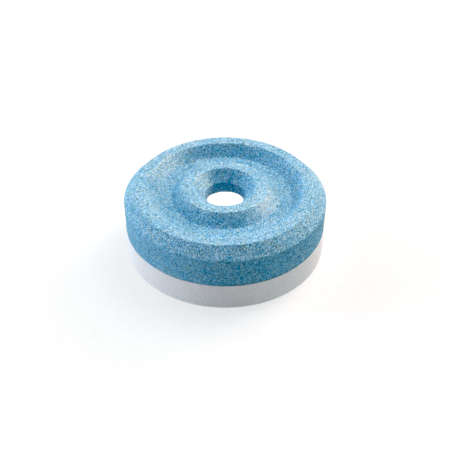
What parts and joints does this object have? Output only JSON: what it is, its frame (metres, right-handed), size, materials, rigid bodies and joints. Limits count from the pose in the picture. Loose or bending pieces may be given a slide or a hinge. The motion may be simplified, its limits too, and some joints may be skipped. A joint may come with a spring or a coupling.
{
  "type": "two-layer pressed ring tablet",
  "caption": "Round pressed refill tablet with a stepped ring relief, a speckled blue layer on a white base layer, and a central hole.",
  "frame": {"origin": "centre of the flat underside, on the axis of the bore", "axes": "+Z along the bore axis, from the flat underside towards the relief; the tablet looks the same at every turn about Z"},
  "size_m": [0.105, 0.105, 0.036],
  "materials": {
    "speckled_blue_salt": "matt pressed grains, finely speckled white, light blue and deep blue",
    "white_salt": "matt, smooth pressed fine grain"
  },
  "bodies": {
    "root": {"blue_top_layer": "speckled_blue_salt", "white_base_layer": "white_salt"}
  },
  "joints": []
}
